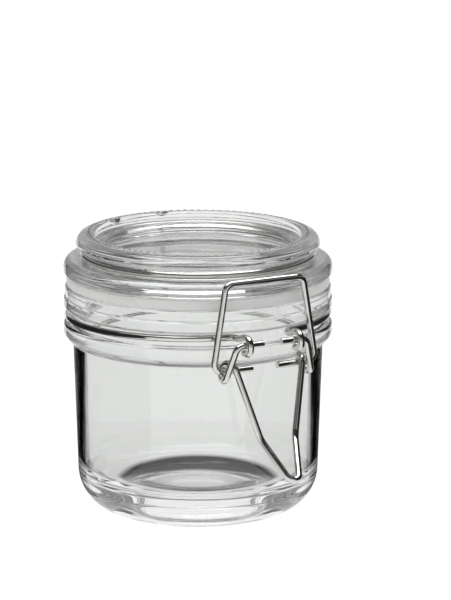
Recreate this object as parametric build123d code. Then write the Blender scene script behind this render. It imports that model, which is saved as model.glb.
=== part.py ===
from build123d import *
import os
from math import asin, cos, degrees, radians, sin, sqrt

# A small clip-top jar: pressed glass jar and lid, a rubber seal and a closure of bent steel wire.
# The origin is the centre of the foot on the table, +Z is up, the clasp is at -Y, the hinge at +Y.
# All sizes are in millimetres.

# Wire and its clearances
wire_diameter = 2.0
glass_clearance = 0.3
hinge_clearance = 0.06
eye_clearance = 0.15
bar_clearance = 0.45
bend_radius = 2.5

# Jar, heights from the table upwards
body_radius = 37.2
body_taper = 1.7
wall_thickness = 3.9
inner_taper = 0.2
body_height = 51.6
base_corner_radius = 12.8
foot_width = 1.4
punt_depth = 1.6
punt_slope = 2.2
floor_thickness = 7.6
floor_rise = 3.4
floor_flat_radius = 16.0
floor_blend_radius = 20.0
floor_corner_radius = 6.0
bead_projection = 2.8
bead_height = 6.0
bead_underside_rise = 1.2
bead_round = 3.0
edge_round = 0.9
root_round = 0.7
neck_groove_depth = 2.5
neck_groove_room = 2.2
rim_inset = 0.1
rim_height = 6.8
rim_notch_depth = 0.45
rim_notch_height = 3.5
rim_lip_inset = 0.3

# Seal
seal_thickness = 3.3
seal_step = 0.7
seal_round = 0.5

# Lid, heights from the top of the seal upwards
flange_overhang = 0.1
flange_height = 4.8
flange_lower_round = 1.0
shoulder_round = 2.4
lid_groove_depth = 3.5
lid_groove_sink = 0.8
lid_groove_round = 0.4
lid_groove_root = 0.25
disc_inset = 3.7
disc_height = 4.9
disc_upper_round = 2.8
disc_lower_round = 1.9
crest_width = 5.7
ledge_width = 2.8
recess_draft = 0.4
recess_step_depth = 3.2
recess_depth = 5.2
recess_round = 1.2
lid_centre_thickness = 6.2
plug_clearance = 2.0
plug_depth = 2.0
plug_wall = 3.4
hollow_round = 3.0

# Hook eyes and rear hinge of the neck band
hook_spacing = 16.8
hook_standoff = 5.0
hook_slack = 0.35
hook_rise = 1.0
hook_tail = 1.6
hook_roundness = 0.99
slope_lead = 0.6
slope_run = 3.0
slope_round = 3.0
hinge_span = 25.0
hinge_standoff = 3.6
tail_spacing = 17.5

# Lever
stub_gap = 6.0
crank_spacing = 22.8
coil_spacing_outside = 28.6
coil_spacing_inside = 22.8
coil_standoff = 0.5
coil_drop = 8.3
coil_slack = 0.35
coil_roundness = 0.93
kink_spacing = 11.4
kink_drop = 27.6
kink_reach = 3.6
kink_round = 7.0
handle_point_drop = 41.5
handle_point_reach = 17.0
handle_tip_round = 2.0

# Bail
bar_length = 25.4
bar_seat_angle = 44.0
foot_spacing = 34.0
pin_gap = 8.3

wire_radius = wire_diameter / 2
wire_seat = wire_radius + glass_clearance

# Radii of the jar's and the lid's features, each stepped from the one that it lines up with
bead_radius = body_radius + bead_projection
neck_radius = bead_radius - neck_groove_depth
rim_radius = bead_radius - rim_inset
mouth_radius = body_radius - wall_thickness + edge_round / 2
flange_radius = rim_radius + flange_overhang
disc_radius = flange_radius - disc_inset
lid_neck_radius = disc_radius - lid_groove_depth
recess_radius = disc_radius - crest_width
recess_step_radius = recess_radius - ledge_width

# Heights of the jar's features
bead_top = body_height + bead_height
groove_top = bead_top + wire_diameter + neck_groove_room
rim_top = groove_top + rim_height

# Heights of the lid's features
seal_top = rim_top + seal_thickness
flange_top = seal_top + flange_height
lid_ring_height = flange_top + wire_seat
disc_underside = lid_ring_height + wire_seat
disc_top = disc_underside + disc_height
recess_floor = disc_top - recess_depth

# Neck band: it lies in the groove, pulled up in front as far as the groove lets it
band_radius = neck_radius + wire_seat
band_height = (bead_top + groove_top) / 2
band_room = neck_groove_room / 2 - glass_clearance
band_tilt = degrees(asin(band_room / band_radius))

# Lid ring
lid_ring_radius = lid_neck_radius + wire_seat


def tilted(reach, height):
    """World y and z of a point given in the plane of the neck band."""
    angle = radians(band_tilt)
    return (
        reach * cos(angle) + height * sin(angle),
        band_height - reach * sin(angle) + height * cos(angle),
    )


# Pivot of the lever, at the top of the hook eyes
hook_radius = wire_diameter + hook_slack
hook_reach = bead_radius + hook_standoff
hook_y, hook_z = tilted(-hook_reach, hook_rise - hook_radius)
pivot_y = hook_y
pivot_z = hook_z + hook_slack - eye_clearance

# Hinge bar at the back of the neck band
hinge_reach = max(bead_radius, flange_radius) + hinge_standoff
hinge_y, hinge_z = tilted(hinge_reach, 0)
hinge_eye_radius = wire_diameter + hinge_clearance

# Coil eyes of the lever, and the pins of the bail at the top of them
coil_radius = wire_diameter + coil_slack
coil_y = -(bead_radius + coil_standoff)
coil_z = pivot_z - coil_drop
pin_y = coil_y
pin_z = coil_z + coil_slack - eye_clearance

# Bar of the bail, on the round shoulder of the lid
bar_seat = shoulder_round + wire_radius + bar_clearance
bar_y = -(flange_radius - shoulder_round + bar_seat * cos(radians(bar_seat_angle)))
bar_z = flange_top - shoulder_round + bar_seat * sin(radians(bar_seat_angle))


def turned(outline, rounds):
    """Solid of revolution about Z from corners (radius, height) and the round of each corner."""
    corners = [(radius, 0, height) for radius, height in outline]
    return revolve(make_face(FilletPolyline(*corners, radius=rounds, close=True)), Axis.Z)


def drawn(edges):
    """Round wire that follows the edges."""
    path = Wire(edges)
    section = Plane(origin=path @ 0, z_dir=path % 0) * Circle(wire_radius)
    return sweep(section, path=path)


def bent(points, rounds):
    """Edges of straight runs with a round bend at each inner point."""
    return FilletPolyline(*points, radius=rounds).edges()


def mirrored(points):
    """The same points on the other side of the jar, in the opposite order."""
    return [(-x, y, z) for x, y, z in reversed(points)]


def branch(ring_radius, offset, side, end):
    """Arc that leaves a ring for a leg at x = side * offset, in front (end -1) or behind (end 1).

    Gives the point on the ring, the arc and the point on the leg.
    """
    centre_x = offset + bend_radius
    centre_y = sqrt((ring_radius + bend_radius) ** 2 - centre_x**2)
    share = ring_radius / (ring_radius + bend_radius)
    on_ring = (side * centre_x * share, end * centre_y * share, 0)
    on_leg = (side * offset, end * centre_y, 0)
    arc = TangentArc(on_leg, on_ring, tangent=(0, -end, 0))
    return on_ring, arc, on_leg


def make_jar_glass():
    foot_radius = body_radius - body_taper - base_corner_radius - foot_width
    notch_bottom = groove_top + rim_notch_height - rim_notch_depth
    lip_radius = rim_radius - rim_lip_inset
    outline = [
        ((0, punt_depth), 0),
        ((foot_radius - punt_slope, punt_depth), punt_depth / 2),
        ((foot_radius, 0), punt_depth / 2),
        ((body_radius - body_taper, 0), base_corner_radius),
        ((body_radius, body_height), root_round),
        ((bead_radius, body_height + bead_underside_rise), bead_round),
        ((bead_radius, bead_top), edge_round),
        ((neck_radius, bead_top), root_round),
        ((neck_radius, groove_top), root_round),
        ((rim_radius, groove_top), edge_round),
        ((rim_radius, notch_bottom), 0),
        ((rim_radius - rim_notch_depth, notch_bottom + rim_notch_depth), 0),
        ((lip_radius, notch_bottom + 2 * rim_notch_depth), 0),
        ((lip_radius, rim_top), root_round),
        ((mouth_radius, rim_top), edge_round),
        ((mouth_radius - inner_taper, floor_thickness + floor_rise), floor_corner_radius),
        ((floor_flat_radius, floor_thickness), floor_blend_radius),
        ((0, floor_thickness), 0),
    ]
    return turned([corner for corner, _ in outline], [size for _, size in outline])


def make_sealing_ring():
    inner_radius = mouth_radius - plug_clearance + glass_clearance
    outer_radius = rim_radius - seal_step
    outline = [
        (inner_radius, rim_top),
        (outer_radius, rim_top),
        (outer_radius, seal_top),
        (inner_radius, seal_top),
    ]
    return turned(outline, [seal_round] * len(outline))


def make_lid_glass():
    plug_radius = mouth_radius - plug_clearance
    plug_bottom = rim_top - plug_depth
    hollow_radius = plug_radius - plug_wall
    groove_floor = flange_top - lid_groove_sink
    groove_radius = lid_ring_radius + wire_seat
    outline = [
        ((0, recess_floor - lid_centre_thickness), 0),
        ((hollow_radius - recess_draft, recess_floor - lid_centre_thickness), hollow_round),
        ((hollow_radius, plug_bottom), edge_round),
        ((plug_radius - recess_draft, plug_bottom), edge_round),
        ((plug_radius, seal_top), root_round),
        ((flange_radius, seal_top), flange_lower_round),
        ((flange_radius, flange_top), shoulder_round),
        ((groove_radius, flange_top), lid_groove_round),
        ((groove_radius, groove_floor), lid_groove_root),
        ((lid_neck_radius, groove_floor), root_round),
        ((lid_neck_radius, disc_underside), root_round),
        ((disc_radius, disc_underside), disc_lower_round),
        ((disc_radius, disc_top), disc_upper_round),
        ((recess_radius, disc_top), recess_round),
        ((recess_radius - recess_draft, disc_top - recess_step_depth), recess_round),
        ((recess_step_radius, disc_top - recess_step_depth), root_round),
        ((recess_step_radius - recess_draft, recess_floor), recess_round),
        ((0, recess_floor), 0),
    ]
    return turned([corner for corner, _ in outline], [size for _, size in outline])


def hook_points(side):
    """Front eye of the neck band, from its free end to the leg, in the plane of the band."""
    x = side * hook_spacing / 2
    hook_bottom = hook_rise - 2 * hook_radius
    front = -hook_reach - hook_radius
    leg = branch(band_radius, hook_spacing / 2, side, -1)[2]
    slope_start = leg[1] - slope_lead
    return [
        (x, -hook_reach + hook_tail, hook_bottom),
        (x, front, hook_bottom),
        (x, front, hook_rise),
        (x, slope_start - slope_run, hook_rise),
        (x, slope_start, 0),
        leg,
    ]


def make_neck_band():
    hook_round = hook_radius * hook_roundness
    hook_rounds = [hook_round, hook_round, slope_round, slope_round]
    edges = []
    rear_legs = []
    for side in (1, -1):
        front_ring, front_arc, _ = branch(band_radius, hook_spacing / 2, side, -1)
        rear_ring, rear_arc, rear_leg = branch(band_radius, hinge_span / 2, side, 1)
        edges += bent(hook_points(side), hook_rounds)
        half_ring = ThreePointArc(front_ring, (side * band_radius, 0, 0), rear_ring)
        edges += [front_arc, half_ring, rear_arc]
        rear_legs.append(rear_leg)
    bar = [
        rear_legs[0],
        (hinge_span / 2, hinge_reach, 0),
        (-hinge_span / 2, hinge_reach, 0),
        rear_legs[1],
    ]
    edges += bent(bar, [bend_radius, bend_radius])
    return Location((0, 0, band_height), (-band_tilt, 0, 0)) * drawn(edges)


def hinge_tail(side):
    """Tail of the lid ring: out over the shoulder, down behind the flange and round the hinge bar."""
    x = side * tail_spacing / 2
    rise = hinge_z - lid_ring_height
    run_y = hinge_y - hinge_eye_radius
    leg = branch(lid_ring_radius, tail_spacing / 2, side, 1)[2]
    edges = bent([leg, (x, run_y, 0), (x, run_y, rise)], [bend_radius])
    eye_front = (x, run_y, rise)
    eye_bottom = (x, hinge_y, rise - hinge_eye_radius)
    eye_back = (x, hinge_y + hinge_eye_radius, rise)
    eye_top = (x, hinge_y, rise + hinge_eye_radius)
    edges.append(ThreePointArc(eye_front, eye_bottom, eye_back))
    edges.append(TangentArc(eye_back, eye_top, tangent=(0, 0, 1)))
    return edges


def make_lid_ring():
    edges = []
    ring_ends = []
    for side in (1, -1):
        on_ring, arc, _ = branch(lid_ring_radius, tail_spacing / 2, side, 1)
        edges += [arc] + hinge_tail(side)
        ring_ends.append(on_ring)
    edges.append(ThreePointArc(ring_ends[0], (0, -lid_ring_radius, 0), ring_ends[1]))
    return Location((0, 0, lid_ring_height)) * drawn(edges)


def make_lever():
    outside = coil_spacing_outside / 2
    inside = coil_spacing_inside / 2
    coil_steps = 3
    pitch = (outside - inside) / coil_steps
    half = [
        (stub_gap / 2, pivot_y, pivot_z),
        (crank_spacing / 2, pivot_y, pivot_z),
        (outside, coil_y - coil_radius, coil_z - coil_radius),
        (outside - pitch, coil_y + coil_radius, coil_z - coil_radius),
        (outside - 2 * pitch, coil_y + coil_radius, coil_z + coil_radius),
        (inside, coil_y - coil_radius, coil_z + coil_radius),
        (kink_spacing / 2, pivot_y - kink_reach, pivot_z - kink_drop),
    ]
    handle_point = (0, pivot_y - handle_point_reach, pivot_z - handle_point_drop)
    coil_round = coil_radius * coil_roundness
    rounds = [bend_radius] + [coil_round] * 4 + [kink_round]
    points = half + [handle_point] + mirrored(half)
    return drawn(bent(points, rounds + [handle_tip_round] + rounds[::-1]))


def make_bail():
    half = [
        (pin_gap / 2, pin_y, pin_z),
        (foot_spacing / 2, pin_y, pin_z),
        (bar_length / 2, bar_y, bar_z),
    ]
    return drawn(bent(half + mirrored(half), [bend_radius] * 4))


os.makedirs("parts", exist_ok=True)
pieces = {
    "jar_glass": make_jar_glass(),
    "sealing_ring": make_sealing_ring(),
    "lid_glass": make_lid_glass(),
    "neck_band": make_neck_band(),
    "lid_ring": make_lid_ring(),
    "lever": make_lever(),
    "bail": make_bail(),
}
for name, piece in pieces.items():
    export_step(piece, f"parts/{name}.step")

print(f"lever pivot: y {pivot_y:.3f}, z {pivot_z:.3f}")
print(f"bail pins: y {pin_y:.3f}, z {pin_z:.3f}")
print(f"lid hinge: y {hinge_y:.3f}, z {hinge_z:.3f}")
print(f"height: {disc_top:.2f}")
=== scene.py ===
import logging
from dataclasses import dataclass, field
from enum import Enum
from math import acos, atan2, ceil, cos, degrees, hypot, pi, radians, sin, tan

import bpy
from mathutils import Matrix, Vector


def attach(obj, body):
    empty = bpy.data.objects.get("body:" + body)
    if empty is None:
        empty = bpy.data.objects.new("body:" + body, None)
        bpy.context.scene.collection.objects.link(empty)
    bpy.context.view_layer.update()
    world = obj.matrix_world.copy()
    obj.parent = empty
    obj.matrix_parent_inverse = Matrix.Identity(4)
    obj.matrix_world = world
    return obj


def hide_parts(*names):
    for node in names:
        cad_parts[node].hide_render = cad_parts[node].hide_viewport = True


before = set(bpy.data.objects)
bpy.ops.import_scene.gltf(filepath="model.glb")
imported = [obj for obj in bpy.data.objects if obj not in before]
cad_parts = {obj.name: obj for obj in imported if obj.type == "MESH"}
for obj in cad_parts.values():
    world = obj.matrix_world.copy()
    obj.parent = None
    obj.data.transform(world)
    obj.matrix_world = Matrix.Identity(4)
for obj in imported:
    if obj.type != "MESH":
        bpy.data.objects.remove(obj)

log = logging.getLogger("clip_top_jar")

MM = 0.001
MERGE_DISTANCE = 0.002 * MM
STRAIGHT_ANGLE = 0.001
STRAIGHT_HOLD = 0.12
ROUND_STEP = 7.5
LEAST_ROUND_STEPS = 3
WHITE = (1, 1, 1, 1)
BLACK = (0, 0, 0, 1)

Corner = tuple[float, float, float]
Point = tuple[float, float]


class Body(Enum):
    """The rigid bodies that the pieces ride on."""

    JAR = "jar"
    LID = "lid"


class Slot(Enum):
    """The material slots of the pieces that are modelled here."""

    JAR_GLASS = "jar_glass"
    LID_GLASS = "lid_glass"
    SEAL = "seal_rubber"


class Sight(Enum):
    """How a card of the studio shows, since the camera never sees it."""

    THROUGH_GLASS = "through glass"
    MIRRORED = "mirrored"
    BOTH = "both"


def linear(colour: str) -> tuple[float, float, float, float]:
    """Turn an sRGB hex colour into linear values.

    Args:
        colour: six hex digits.

    Returns:
        Red, green, blue and an alpha of 1.
    """
    channels = [int(colour[i : i + 2], 16) / 255 for i in (0, 2, 4)]
    values = [c / 12.92 if c <= 0.04045 else ((c + 0.055) / 1.055) ** 2.4 for c in channels]
    return values[0], values[1], values[2], 1.0


def grey(value: float) -> tuple[float, float, float, float]:
    """Give a linear grey.

    Args:
        value: its brightness.

    Returns:
        Red, green, blue and an alpha of 1.
    """
    return value, value, value, 1.0


def new_material(name: str) -> tuple[bpy.types.Material, bpy.types.NodeTree]:
    """Start a material with Blender's own shader.

    Args:
        name: what it is made of and how.

    Returns:
        The material and its node tree.
    """
    material = bpy.data.materials.new(name)
    material.use_nodes = True
    return material, material.node_tree


def set_inputs(node: bpy.types.Node, values: dict) -> None:
    """Set input values of a node.

    Args:
        node: the node.
        values: input socket name to its value.
    """
    for key, value in values.items():
        node.inputs[key].default_value = value


def add_node(tree: bpy.types.NodeTree, kind: str, settings: dict, links: dict) -> bpy.types.Node:
    """Add a node with its settings and its links.

    Args:
        tree: the node tree.
        kind: the type of the node.
        settings: attributes and, by socket name, input values.
        links: input socket name to the output socket that feeds it.

    Returns:
        The new node.
    """
    node = tree.nodes.new(kind)
    for key, value in settings.items():
        if key in node.inputs:
            node.inputs[key].default_value = value
        else:
            setattr(node, key, value)
    for key, source in links.items():
        tree.links.new(source, node.inputs[key])
    return node


def add_bump(
    tree: bpy.types.NodeTree, strength: float, distance: float, height: bpy.types.NodeSocket
) -> None:
    """Roughen the surface of Blender's own shader.

    Args:
        tree: the node tree.
        strength: how strongly the bumps show.
        distance: their height, in metres.
        height: the output socket of the pattern.
    """
    bump = add_node(
        tree, "ShaderNodeBump", {"Strength": strength, "Distance": distance}, {"Height": height}
    )
    tree.links.new(bump.outputs["Normal"], tree.nodes["Principled BSDF"].inputs["Normal"])


@dataclass(frozen=True)
class PressedGlass:
    """Soda-lime glass pressed in a polished mould: clear, hard and glossy, faintly grey-green."""

    name: str
    tint: str = "EDEEED"
    ior: float = 1.52
    roughness: float = 0.0
    ripple_scale: float = 55.0
    ripple_detail: float = 1.0
    ripple_strength: float = 1.0
    ripple_height: float = 0.06 * MM

    def material(self) -> bpy.types.Material:
        """Build the material.

        Returns:
            The material.
        """
        material, tree = new_material(self.name)
        set_inputs(
            tree.nodes["Principled BSDF"],
            {
                "Base Color": linear(self.tint),
                "Roughness": self.roughness,
                "IOR": self.ior,
                "Transmission Weight": 1.0,
            },
        )
        coords = add_node(tree, "ShaderNodeTexCoord", {}, {})
        ripple = add_node(
            tree,
            "ShaderNodeTexNoise",
            {"Scale": self.ripple_scale, "Detail": self.ripple_detail},
            {"Vector": coords.outputs["Object"]},
        )
        add_bump(tree, self.ripple_strength, self.ripple_height, ripple.outputs["Fac"])
        return material


@dataclass(frozen=True)
class MouldedRubber:
    """Pale moulded rubber: soft sheen, a little light passes through its edge, with painted shade that
    darkens it towards its inner edge.
    """

    name: str
    colour: str = "F6F6F4"
    cloud: str = "ECECEA"
    cloud_scale: float = 160.0
    cloud_detail: float = 3.0
    # painted shade: the dark colour the rubber takes at its inner edge, standing in for the shade between
    # rim, lid and glass
    inside: str = "757571"
    shade_full_radius: float = 33.0 * MM
    shade_end_radius: float = 35.5 * MM
    grain_scale: float = 2600.0
    grain_detail: float = 2.0
    grain_strength: float = 0.5
    grain_height: float = 0.03 * MM
    roughness: float = 0.42
    ior: float = 1.5
    scatter: float = 0.2
    scatter_radius: tuple[float, float, float] = (2.0 * MM, 2.0 * MM, 1.8 * MM)

    def material(self) -> bpy.types.Material:
        """Build the material.

        Returns:
            The material.
        """
        material, tree = new_material(self.name)
        shader = tree.nodes["Principled BSDF"]
        set_inputs(
            shader,
            {
                "Roughness": self.roughness,
                "IOR": self.ior,
                "Subsurface Weight": self.scatter,
                "Subsurface Radius": self.scatter_radius,
                "Subsurface Scale": 1.0,
            },
        )
        coords = add_node(tree, "ShaderNodeTexCoord", {}, {})
        here = {"Vector": coords.outputs["Object"]}
        clouds = add_node(
            tree, "ShaderNodeTexNoise", {"Scale": self.cloud_scale, "Detail": self.cloud_detail}, here
        )
        pale = add_node(tree, "ShaderNodeMix", {"data_type": "RGBA"}, {"Factor": clouds.outputs["Fac"]})
        set_inputs(pale, {"A": linear(self.colour), "B": linear(self.cloud)})
        # painted shade: the rubber darkens from its own colour to the inside colour towards the inner edge
        shaded_inside = add_node(
            tree, "ShaderNodeMix", {"data_type": "RGBA"}, {"Factor": self.outward(tree, coords)}
        )
        set_inputs(shaded_inside, {"A": linear(self.inside)})
        tree.links.new(pale.outputs["Result"], shaded_inside.inputs["B"])
        tree.links.new(shaded_inside.outputs["Result"], shader.inputs["Base Color"])
        grain = add_node(
            tree, "ShaderNodeTexNoise", {"Scale": self.grain_scale, "Detail": self.grain_detail}, here
        )
        add_bump(tree, self.grain_strength, self.grain_height, grain.outputs["Fac"])
        return material

    def outward(self, tree: bpy.types.NodeTree, coords: bpy.types.Node) -> bpy.types.NodeSocket:
        """Measure how far out from the axis of the ring a point lies.

        Args:
            tree: the node tree.
            coords: the node of the coordinates.

        Returns:
            A socket that runs from 0 at the inner edge, in full painted shade, to 1 where the painted
            shade ends and the rubber is pale.
        """
        level = add_node(
            tree, "ShaderNodeVectorMath", {"operation": "MULTIPLY"}, {"Vector": coords.outputs["Object"]}
        )
        level.inputs[1].default_value = (1, 1, 0)
        reach = add_node(
            tree, "ShaderNodeVectorMath", {"operation": "LENGTH"}, {"Vector": level.outputs["Vector"]}
        )
        share = add_node(
            tree,
            "ShaderNodeMapRange",
            {"From Min": self.shade_full_radius, "From Max": self.shade_end_radius},
            {"Value": reach.outputs["Value"]},
        )
        return share.outputs["Result"]


@dataclass(frozen=True)
class DrawnWire:
    """Bright drawn steel wire: mirror-like, with fine marks from the die."""

    name: str
    colour: str = "D2D2CF"
    smooth: float = 0.07
    dragged: float = 0.2
    drag_scale: float = 900.0
    drag_detail: float = 4.0
    drag_low: float = 0.3
    drag_high: float = 0.7

    def material(self) -> bpy.types.Material:
        """Build the material.

        Returns:
            The material.
        """
        material, tree = new_material(self.name)
        shader = tree.nodes["Principled BSDF"]
        set_inputs(shader, {"Base Color": linear(self.colour), "Metallic": 1.0})
        coords = add_node(tree, "ShaderNodeTexCoord", {}, {})
        drag = add_node(
            tree,
            "ShaderNodeTexNoise",
            {"Scale": self.drag_scale, "Detail": self.drag_detail},
            {"Vector": coords.outputs["Object"]},
        )
        gloss = add_node(
            tree,
            "ShaderNodeMapRange",
            {
                "From Min": self.drag_low,
                "From Max": self.drag_high,
                "To Min": self.smooth,
                "To Max": self.dragged,
            },
            {"Value": drag.outputs["Fac"]},
        )
        tree.links.new(gloss.outputs["Result"], shader.inputs["Roughness"])
        return material


def rounded(corners: list[Corner], closed: bool) -> list[Point]:
    """Round the corners of a profile and hold its straight runs straight up to each round.

    Args:
        corners: radius, height and round of each corner, in millimetres.
        closed: whether the last corner joins the first.

    Returns:
        Points of the profile, in millimetres.
    """
    points: list[Point] = []
    count = len(corners)
    for index, (x, z, size) in enumerate(corners):
        here = Vector((x, z))
        if size == 0 or (not closed and index in (0, count - 1)):
            points.append((x, z))
            continue
        before = Vector(corners[index - 1][:2]) - here
        after = Vector(corners[(index + 1) % count][:2]) - here
        before.normalize()
        after.normalize()
        between = acos(max(-1.0, min(1.0, before.dot(after))))
        if pi - between < STRAIGHT_ANGLE:
            points.append((x, z))
            continue
        reach = size / tan(between / 2)
        start = here + before * reach
        end = here + after * reach
        bisector = (before + after).normalized()
        centre = here + bisector * (size / sin(between / 2))
        first = atan2(start.y - centre.y, start.x - centre.x)
        sweep = atan2(end.y - centre.y, end.x - centre.x) - first
        sweep = (sweep + pi) % (2 * pi) - pi
        steps = max(LEAST_ROUND_STEPS, ceil(abs(sweep) / radians(ROUND_STEP)))
        lead_in = start + before * STRAIGHT_HOLD
        lead_out = end + after * STRAIGHT_HOLD
        points.append((lead_in.x, lead_in.y))
        for step in range(steps + 1):
            angle = first + sweep * step / steps
            points.append((centre.x + size * cos(angle), centre.y + size * sin(angle)))
        points.append((lead_out.x, lead_out.y))
    return points


def turn(name: str, profile: list[Point], closed: bool, steps: int) -> bpy.types.Object:
    """Draw a profile by extruding one point and spin it about the axis of the jar.

    Args:
        name: name of the piece.
        profile: radius and height of each point, in millimetres.
        closed: whether the profile is a ring that keeps off the axis.
        steps: steps of the spin.

    Returns:
        The turned piece.
    """
    bpy.ops.object.select_all(action="DESELECT")
    bpy.ops.mesh.primitive_plane_add(size=MM)
    piece = bpy.context.object
    piece.name = name
    piece.data.name = name
    bpy.ops.object.mode_set(mode="EDIT")
    bpy.ops.mesh.select_mode(type="VERT")
    bpy.ops.mesh.select_all(action="SELECT")
    bpy.ops.mesh.merge(type="CENTER")
    route = profile + profile[:1] if closed else profile
    bpy.ops.transform.translate(value=(route[0][0] * MM, 0, route[0][1] * MM))
    for (r0, z0), (r1, z1) in zip(route, route[1:]):
        move = {"value": ((r1 - r0) * MM, 0, (z1 - z0) * MM)}
        bpy.ops.mesh.extrude_region_move(TRANSFORM_OT_translate=move)
    bpy.ops.mesh.select_all(action="SELECT")
    bpy.ops.mesh.spin(steps=steps, angle=2 * pi, center=(0, 0, 0), axis=(0, 0, 1))
    bpy.ops.mesh.select_all(action="SELECT")
    bpy.ops.mesh.remove_doubles(threshold=MERGE_DISTANCE)
    bpy.ops.mesh.normals_make_consistent(inside=False)
    bpy.ops.object.mode_set(mode="OBJECT")
    bpy.ops.object.shade_smooth()
    return piece


def place(piece: bpy.types.Object, body: Body, material: bpy.types.Material, node: str) -> None:
    """Dress a piece and tie it to its body.

    Args:
        piece: the finished piece.
        body: the body it rides on.
        material: its material.
        node: the CAD node it stands for.
    """
    piece.data.materials.clear()
    piece.data.materials.append(material)
    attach(piece, body.value)
    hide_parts(node)
    log.info("piece %s rides on %s", piece.name, body.value)


@dataclass
class JarBody:
    """The pressed glass jar, in millimetres."""

    body_radius: float = 37.2
    body_taper: float = 1.7
    inner_taper: float = 0.2
    body_height: float = 51.6
    base_corner: float = 12.8
    foot_width: float = 1.4
    punt_depth: float = 1.6
    punt_slope: float = 2.2
    floor_height: float = 7.6
    floor_rise: float = 3.4
    floor_flat: float = 16.0
    floor_blend: float = 20.0
    floor_corner: float = 6.0
    bead_radius: float = 40.0
    bead_top: float = 57.6
    bead_rise: float = 1.2
    bead_round: float = 3.0
    neck_radius: float = 37.5
    groove_top: float = 61.8
    rim_radius: float = 39.9
    rim_top: float = 68.6
    notch_depth: float = 0.45
    notch_height: float = 3.5
    lip_inset: float = 0.3
    mouth_radius: float = 33.75
    edge_round: float = 0.9
    root_round: float = 0.7
    notch_round: float = 0.16
    steps: int = 288

    def profile(self) -> list[Point]:
        """Work out the section, from the axis under the punt to the axis on the floor.

        Returns:
            Points of the section.
        """
        foot_radius = self.body_radius - self.body_taper - self.base_corner - self.foot_width
        notch = self.groove_top + self.notch_height - self.notch_depth
        lip_radius = self.rim_radius - self.lip_inset
        corners: list[Corner] = [
            (0, self.punt_depth, 0),
            (foot_radius - self.punt_slope, self.punt_depth, self.punt_depth / 2),
            (foot_radius, 0, self.punt_depth / 2),
            (self.body_radius - self.body_taper, 0, self.base_corner),
            (self.body_radius, self.body_height, self.root_round),
            (self.bead_radius, self.body_height + self.bead_rise, self.bead_round),
            (self.bead_radius, self.bead_top, self.edge_round),
            (self.neck_radius, self.bead_top, self.root_round),
            (self.neck_radius, self.groove_top, self.root_round),
            (self.rim_radius, self.groove_top, self.edge_round),
            (self.rim_radius, notch, self.notch_round),
            (self.rim_radius - self.notch_depth, notch + self.notch_depth, self.notch_round),
            (lip_radius, notch + 2 * self.notch_depth, self.notch_round),
            (lip_radius, self.rim_top, self.root_round),
            (self.mouth_radius, self.rim_top, self.edge_round),
            (self.mouth_radius - self.inner_taper, self.floor_height + self.floor_rise, self.floor_corner),
            (self.floor_flat, self.floor_height, self.floor_blend),
            (0, self.floor_height, 0),
        ]
        return rounded(corners, closed=False)

    def build(self, glass: bpy.types.Material) -> None:
        """Turn the jar and dress it.

        Args:
            glass: the material of the jar.
        """
        piece = turn("jar_body", self.profile(), closed=False, steps=self.steps)
        place(piece, Body.JAR, glass, "jar_glass")


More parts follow.
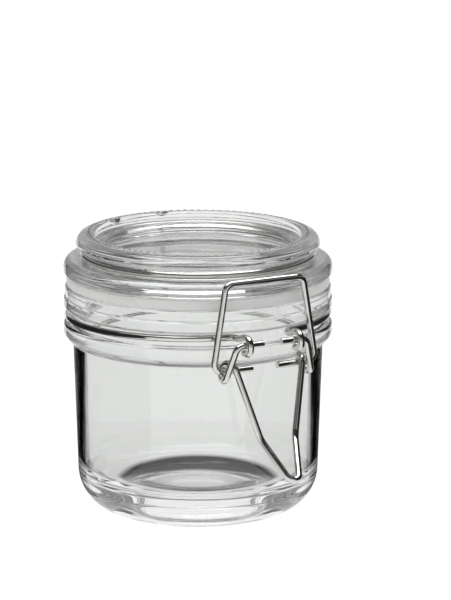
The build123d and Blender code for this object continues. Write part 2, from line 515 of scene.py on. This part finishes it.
@dataclass
class Lid:
    """The pressed glass lid with a ring of small raised dots on its crest, in millimetres."""

    seal_top: float = 71.9
    flange_radius: float = 40.0
    flange_top: float = 76.7
    flange_lower_round: float = 1.0
    shoulder_round: float = 2.4
    neck_radius: float = 32.8
    groove_radius: float = 35.4
    groove_sink: float = 0.8
    groove_round: float = 0.4
    groove_root: float = 0.25
    disc_radius: float = 36.3
    disc_underside: float = 79.3
    disc_top: float = 84.2
    disc_upper_round: float = 2.8
    disc_lower_round: float = 1.9
    recess_radius: float = 30.6
    recess_step_radius: float = 27.8
    recess_draft: float = 0.4
    recess_step_depth: float = 3.2
    recess_depth: float = 5.2
    recess_round: float = 1.2
    centre_thickness: float = 6.2
    plug_radius: float = 31.75
    plug_bottom: float = 66.6
    plug_wall: float = 3.4
    hollow_round: float = 3.0
    edge_round: float = 0.9
    root_round: float = 0.7
    dots: int = 96
    dot_ring: float = 32.65
    dot_width: float = 1.0
    dot_height: float = 0.35
    dot_insets: tuple[float, ...] = (0.08, 0.14, 0.14)
    dot_shares: tuple[float, ...] = (0.55, 0.3, 0.15)

    def profile(self) -> list[Point]:
        """Work out the section, from the axis under the lid to the axis in the dish.

        Returns:
            Points of the section.
        """
        crest = self.disc_top - self.dot_height
        ceiling = self.disc_top - self.recess_depth - self.centre_thickness
        hollow = self.plug_radius - self.plug_wall
        groove_floor = self.flange_top - self.groove_sink
        ledge = self.disc_top - self.recess_step_depth
        dish = self.disc_top - self.recess_depth
        corners: list[Corner] = [
            (0, ceiling, 0),
            (hollow - self.recess_draft, ceiling, self.hollow_round),
            (hollow, self.plug_bottom, self.edge_round),
            (self.plug_radius - self.recess_draft, self.plug_bottom, self.edge_round),
            (self.plug_radius, self.seal_top, self.root_round),
            (self.flange_radius, self.seal_top, self.flange_lower_round),
            (self.flange_radius, self.flange_top, self.shoulder_round),
            (self.groove_radius, self.flange_top, self.groove_round),
            (self.groove_radius, groove_floor, self.groove_root),
            (self.neck_radius, groove_floor, self.root_round),
            (self.neck_radius, self.disc_underside, self.root_round),
            (self.disc_radius, self.disc_underside, self.disc_lower_round),
            (self.disc_radius, crest, self.disc_upper_round),
            (self.dot_ring + self.dot_width / 2, crest, 0),
            (self.dot_ring - self.dot_width / 2, crest, 0),
            (self.recess_radius, crest, self.recess_round),
            (self.recess_radius - self.recess_draft, ledge, self.recess_round),
            (self.recess_step_radius, ledge, self.root_round),
            (self.recess_step_radius - self.recess_draft, dish, self.recess_round),
            (0, dish, 0),
        ]
        return rounded(corners, closed=False)

    def build(self, glass: bpy.types.Material) -> None:
        """Turn the lid, two faces round the crest for each dot, and dress it.

        Args:
            glass: the material of the lid.
        """
        piece = turn("lid_disc", self.profile(), closed=False, steps=2 * self.dots)
        self.raise_dots(piece)
        place(piece, Body.LID, glass, "lid_glass")

    def raise_dots(self, piece: bpy.types.Object) -> None:
        """Raise every other face of the crest into a small dot.

        Args:
            piece: the turned lid.
        """
        bpy.ops.object.mode_set(mode="EDIT")
        bpy.ops.mesh.select_mode(type="FACE")
        bpy.ops.mesh.select_all(action="DESELECT")
        bpy.ops.object.mode_set(mode="OBJECT")
        face_angle = 180 / self.dots
        crest = (self.disc_top - self.dot_height) * MM
        for face in piece.data.polygons:
            reach = hypot(face.center.x, face.center.y) / MM
            count = round(degrees(atan2(face.center.y, face.center.x)) / face_angle - 0.5)
            on_ring = abs(reach - self.dot_ring) < self.dot_width / 2
            on_crest = abs(face.center.z - crest) < self.dot_height * MM / 2
            face.select = on_ring and on_crest and count % 2 == 0
        bpy.ops.object.mode_set(mode="EDIT")
        for inset, share in zip(self.dot_insets, self.dot_shares):
            rise = share * self.dot_height * MM
            bpy.ops.mesh.inset(thickness=inset * MM, depth=rise, use_individual=True)
        bpy.ops.object.mode_set(mode="OBJECT")


@dataclass
class Seal:
    """The flat rubber ring, a hair clear of the rim below and the lid above, in millimetres."""

    inner_radius: float = 32.05
    outer_radius: float = 39.2
    bottom: float = 68.64
    top: float = 71.86
    edge: float = 0.5
    steps: int = 192

    def build(self, rubber: bpy.types.Material) -> None:
        """Turn the ring and dress it.

        Args:
            rubber: the material of the ring.
        """
        corners: list[Corner] = [
            (self.inner_radius, self.bottom, self.edge),
            (self.outer_radius, self.bottom, self.edge),
            (self.outer_radius, self.top, self.edge),
            (self.inner_radius, self.top, self.edge),
        ]
        piece = turn("rubber_seal", rounded(corners, closed=True), closed=True, steps=self.steps)
        place(piece, Body.LID, rubber, "sealing_ring")


@dataclass
class WireClosure:
    """The bent wire pieces, which keep their CAD shapes."""

    nodes: list[str] = field(default_factory=lambda: ["neck_band", "lid_ring", "lever", "bail"])

    def dress(self, steel: bpy.types.Material) -> None:
        """Give each wire its material.

        Args:
            steel: the material of the wire.
        """
        for name in self.nodes:
            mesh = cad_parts[name].data
            mesh.materials.clear()
            mesh.materials.append(steel)
            log.info("wire %s keeps its shape", name)


@dataclass(frozen=True)
class View:
    """The camera at the photograph's angle and framing, in degrees, metres and pixels."""

    azimuth: float = -28.5
    elevation: float = 13.6
    distance: float = 1.3
    target_height: float = 0.040
    target_x: float = 198.0
    target_y: float = 375.85
    focal_pixels: float = 4345.0
    frame_width: float = 451.0
    frame_height: float = 600.0
    sensor: float = 24.0
    far_clip: float = 50.0

    def heading(self) -> float:
        """Give the level angle of the view.

        Returns:
            The angle, in radians.
        """
        return radians(self.azimuth)

    def along(self) -> Vector:
        """Give the level direction away from the camera.

        Returns:
            The direction.
        """
        return Vector((-sin(self.heading()), cos(self.heading()), 0))

    def right(self) -> Vector:
        """Give the level direction to the right of the camera.

        Returns:
            The direction.
        """
        return Vector((cos(self.heading()), sin(self.heading()), 0))

    def add_camera(self) -> None:
        """Add the camera and make it the scene's own."""
        elevation = radians(self.elevation)
        away = self.along() * -cos(elevation) + Vector((0, 0, sin(elevation)))
        target = Vector((0, 0, self.target_height))
        bpy.ops.object.select_all(action="DESELECT")
        bpy.ops.object.camera_add(location=target + away * self.distance)
        camera = bpy.context.object
        camera.rotation_euler = (-away).to_track_quat("-Z", "Y").to_euler()
        camera.data.sensor_fit = "VERTICAL"
        camera.data.sensor_height = self.sensor
        camera.data.lens = self.focal_pixels * self.sensor / self.frame_height
        camera.data.shift_x = (self.frame_width / 2 - self.target_x) / self.frame_height
        camera.data.shift_y = (self.target_y - self.frame_height / 2) / self.frame_height
        camera.data.clip_end = self.far_clip
        bpy.context.scene.camera = camera


def add_card(
    name: str, material: bpy.types.Material, location: Vector, scale: Point, rotation: Corner, sight: Sight
) -> None:
    """Set up a flat card that shows only in reflections or refractions.

    Args:
        name: name of the card.
        material: its material.
        location: its centre, in metres.
        scale: its two sides, in metres.
        rotation: its turn about each axis, in radians.
        sight: how it shows.
    """
    bpy.ops.object.select_all(action="DESELECT")
    bpy.ops.mesh.primitive_plane_add(size=1, location=location)
    card = bpy.context.object
    card.name = name
    card.scale = (scale[0], scale[1], 1)
    card.rotation_euler = rotation
    card.data.materials.append(material)
    card.visible_camera = False
    card.visible_diffuse = False
    card.visible_shadow = False
    card.visible_glossy = sight is not Sight.THROUGH_GLASS
    card.visible_transmission = sight is not Sight.MIRRORED


def black_film(
    name: str, darkness: float
) -> tuple[bpy.types.Material, bpy.types.NodeTree, bpy.types.NodeSocket]:
    """Start black film that is clear wherever its mask is 0.

    Args:
        name: name of the material.
        darkness: how much light the black sends back.

    Returns:
        The material, its node tree and the socket that takes the mask.
    """
    material, tree = new_material(name)
    tree.nodes.remove(tree.nodes["Principled BSDF"])
    black = add_node(tree, "ShaderNodeBsdfDiffuse", {"Color": grey(darkness)}, {})
    clear = add_node(tree, "ShaderNodeBsdfTransparent", {}, {})
    mix = add_node(tree, "ShaderNodeMixShader", {}, {})
    tree.links.new(clear.outputs["BSDF"], mix.inputs[1])
    tree.links.new(black.outputs["BSDF"], mix.inputs[2])
    tree.links.new(mix.outputs["Shader"], tree.nodes["Material Output"].inputs["Surface"])
    return material, tree, mix.inputs["Fac"]


@dataclass
class Table:
    """The white table, which glows a little so that it stays white in the shade of the jar."""

    size: float = 12.0
    drop: float = 0.00003
    colour: str = "4A4A4A"
    roughness: float = 0.9
    gloss: float = 0.1
    glow: float = 0.98

    def build(self) -> bpy.types.Material:
        """Add the table.

        Returns:
            Its material.
        """
        bpy.ops.object.select_all(action="DESELECT")
        bpy.ops.mesh.primitive_plane_add(size=self.size, location=(0, 0, -self.drop))
        table = bpy.context.object
        table.name = "table"
        material, tree = new_material("white table")
        set_inputs(
            tree.nodes["Principled BSDF"],
            {
                "Base Color": linear(self.colour),
                "Roughness": self.roughness,
                "Specular IOR Level": self.gloss,
                "Emission Color": WHITE,
                "Emission Strength": self.glow,
            },
        )
        table.data.materials.append(material)
        return material


@dataclass
class WhiteCards:
    """White cards across the view behind the jar, which keep its base and neck bright, in metres."""

    width: float = 0.3
    low_distance: float = 0.042
    low_top: float = 0.0175
    high_distance: float = 0.054
    high_bottom: float = 0.042
    high_top: float = 0.068

    def build(self, view: View, white: bpy.types.Material) -> None:
        """Stand both cards.

        Args:
            view: the view that they stand across.
            white: their material.
        """
        self.stand("white_card_low", view, white, self.low_distance, 0.0, self.low_top)
        self.stand("white_card_high", view, white, self.high_distance, self.high_bottom, self.high_top)

    def stand(
        self, name: str, view: View, white: bpy.types.Material, distance: float, bottom: float, top: float
    ) -> None:
        """Stand one card.

        Args:
            name: name of the card.
            view: the view that it stands across.
            white: its material.
            distance: how far it stands behind the axis of the jar.
            bottom: height of its lower edge.
            top: height of its upper edge.
        """
        centre = view.along() * distance + Vector((0, 0, (bottom + top) / 2))
        rotation = (pi / 2, 0, view.heading())
        add_card(name, white, centre, (self.width, top - bottom), rotation, Sight.THROUGH_GLASS)


@dataclass
class SideCard:
    """A dark card on either side of the jar, in line with the view, in metres and degrees."""

    name: str
    offset: float
    near: float
    far: float
    height: float
    lean: float
    sight: Sight

    def stand(self, side: int, side_name: str, view: View, material: bpy.types.Material) -> None:
        """Stand the card on one side.

        Args:
            side: -1 on the left of the view, 1 on the right.
            side_name: the name of that side.
            view: the view that it stands in line with.
            material: its material.
        """
        centre = view.right() * (side * self.offset) + view.along() * ((self.near + self.far) / 2)
        centre += Vector((0, 0, self.height / 2))
        rotation = (pi / 2 + side * radians(self.lean), 0, view.heading() + pi / 2)
        scale = (self.far - self.near, self.height)
        add_card(f"{self.name}_{side_name}", material, centre, scale, rotation, self.sight)


@dataclass
class DarkCards:
    """Strips that blacken the edges of the glass, and cards that the wire mirrors."""

    strip: SideCard = field(
        default_factory=lambda: SideCard("dark_strip", 0.0371, -0.010, 0.013, 0.0495, 1.9, Sight.BOTH)
    )
    mirrored: SideCard = field(
        default_factory=lambda: SideCard("dark_card", 0.07, -0.09, 0.06, 0.09, 0.0, Sight.MIRRORED)
    )
    darkness: float = 0.005
    roughness: float = 0.9
    wall_passes: int = 2

    def edge_film(self) -> bpy.types.Material:
        """Build black film that darkens only the edge of the glass, seen through a single wall.

        Returns:
            The material.
        """
        material, tree, mask = black_film("black edging film", self.darkness)
        path = add_node(tree, "ShaderNodeLightPath", {}, {})
        edge = add_node(
            tree,
            "ShaderNodeMapRange",
            {"From Min": self.wall_passes + 1, "From Max": self.wall_passes},
            {"Value": path.outputs["Transmission Depth"]},
        )
        tree.links.new(edge.outputs["Result"], mask)
        return material

    def build(self, view: View) -> None:
        """Stand a strip and a card on each side.

        Args:
            view: the view that they stand in line with.
        """
        film = self.edge_film()
        black, tree = new_material("black card")
        finish = {"Base Color": grey(self.darkness), "Roughness": self.roughness}
        set_inputs(tree.nodes["Principled BSDF"], finish)
        for side, side_name in ((-1, "left"), (1, "right")):
            self.strip.stand(side, side_name, view, film)
            self.mirrored.stand(side, side_name, view, black)


@dataclass
class Shade:
    """The soft ring of shade under the jar, which shows only through its base, in metres."""

    shift: float = 0.0075
    depth: float = 0.063
    width: float = 0.053
    darkness: float = 0.01
    middle: float = 0.1
    middle_reach: float = 0.16
    dark_from: float = 0.31
    dark_to: float = 0.46
    end_reach: float = 0.5

    def material(self) -> bpy.types.Material:
        """Build the shade, dark in a ring and clear towards its middle and its edge.

        Returns:
            The material.
        """
        material, tree, mask = black_film("shade on the table", self.darkness)
        coords = add_node(tree, "ShaderNodeTexCoord", {}, {})
        reach = add_node(
            tree, "ShaderNodeVectorMath", {"operation": "LENGTH"}, {"Vector": coords.outputs["Object"]}
        )
        ring = add_node(tree, "ShaderNodeValToRGB", {}, {"Fac": reach.outputs["Value"]})
        ramp = ring.color_ramp.elements
        ramp[0].position = self.middle_reach
        ramp[0].color = grey(self.middle)
        ramp[1].position = self.end_reach
        ramp[1].color = BLACK
        for position in (self.dark_from, self.dark_to):
            ramp.new(position).color = WHITE
        tree.links.new(ring.outputs["Color"], mask)
        return material

    def build(self, view: View) -> None:
        """Lay the shade.

        Args:
            view: the view that it is laid out along.
        """
        rotation = (0, 0, view.heading() + pi / 2)
        scale = (self.depth, self.width)
        centre = view.along() * self.shift
        add_card("shade_under_jar", self.material(), centre, scale, rotation, Sight.THROUGH_GLASS)


@dataclass
class Room:
    """One wide soft lamp above the table, and a room that is bright low down and dark above."""

    lamp_place: Corner = (0.0, 0.1, 1.4)
    lamp_width: float = 1.6
    lamp_depth: float = 1.2
    lamp_watts: float = 24.0
    sky_light: float = 0.03
    sky_bottom: float = 0.5
    horizon_light: float = 0.5
    horizon_top: float = 0.28

    def add_lamp(self) -> None:
        """Add the lamp, aimed at the foot of the jar."""
        bpy.ops.object.select_all(action="DESELECT")
        bpy.ops.object.light_add(type="AREA", location=self.lamp_place)
        lamp = bpy.context.object
        lamp.data.shape = "RECTANGLE"
        lamp.data.size = self.lamp_width
        lamp.data.size_y = self.lamp_depth
        lamp.data.energy = self.lamp_watts
        lamp.rotation_euler = (-lamp.location).to_track_quat("-Z", "Y").to_euler()

    def add_world(self) -> None:
        """Add the light of the room, by height above the horizon."""
        world = bpy.context.scene.world or bpy.data.worlds.new("room")
        bpy.context.scene.world = world
        world.use_nodes = True
        tree = world.node_tree
        background = tree.nodes["Background"]
        coords = add_node(tree, "ShaderNodeTexCoord", {}, {})
        split = add_node(tree, "ShaderNodeSeparateXYZ", {}, {"Vector": coords.outputs["Generated"]})
        light = add_node(
            tree,
            "ShaderNodeMapRange",
            {
                "interpolation_type": "SMOOTHSTEP",
                "From Min": self.horizon_top,
                "From Max": self.sky_bottom,
                "To Min": self.horizon_light,
                "To Max": self.sky_light,
            },
            {"Value": split.outputs["Z"]},
        )
        set_inputs(background, {"Color": WHITE})
        tree.links.new(light.outputs["Result"], background.inputs["Strength"])


@dataclass
class Studio:
    """The set that the jar is photographed in."""

    view: View = field(default_factory=View)
    light_bounces: int = 40
    mirror_bounces: int = 16

    def build(self) -> None:
        """Set up the table, the cards, the light and the camera."""
        scene = bpy.context.scene
        scene.view_settings.view_transform = "Standard"
        scene.cycles.max_bounces = self.light_bounces
        scene.cycles.transmission_bounces = self.light_bounces
        scene.cycles.glossy_bounces = self.mirror_bounces
        white = Table().build()
        WhiteCards().build(self.view, white)
        DarkCards().build(self.view)
        Shade().build(self.view)
        room = Room()
        room.add_lamp()
        room.add_world()
        self.view.add_camera()


def main() -> None:
    """Build the jar, dress it and set up the studio."""
    logging.basicConfig(level=logging.INFO, format="%(message)s")
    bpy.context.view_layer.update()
    JarBody().build(PressedGlass("pressed clear glass, jar").material())
    Lid().build(PressedGlass("pressed clear glass, lid").material())
    Seal().build(MouldedRubber("pale moulded rubber").material())
    WireClosure().dress(DrawnWire("bright drawn steel wire").material())
    Studio().build()


if __name__ == "__main__":
    main()
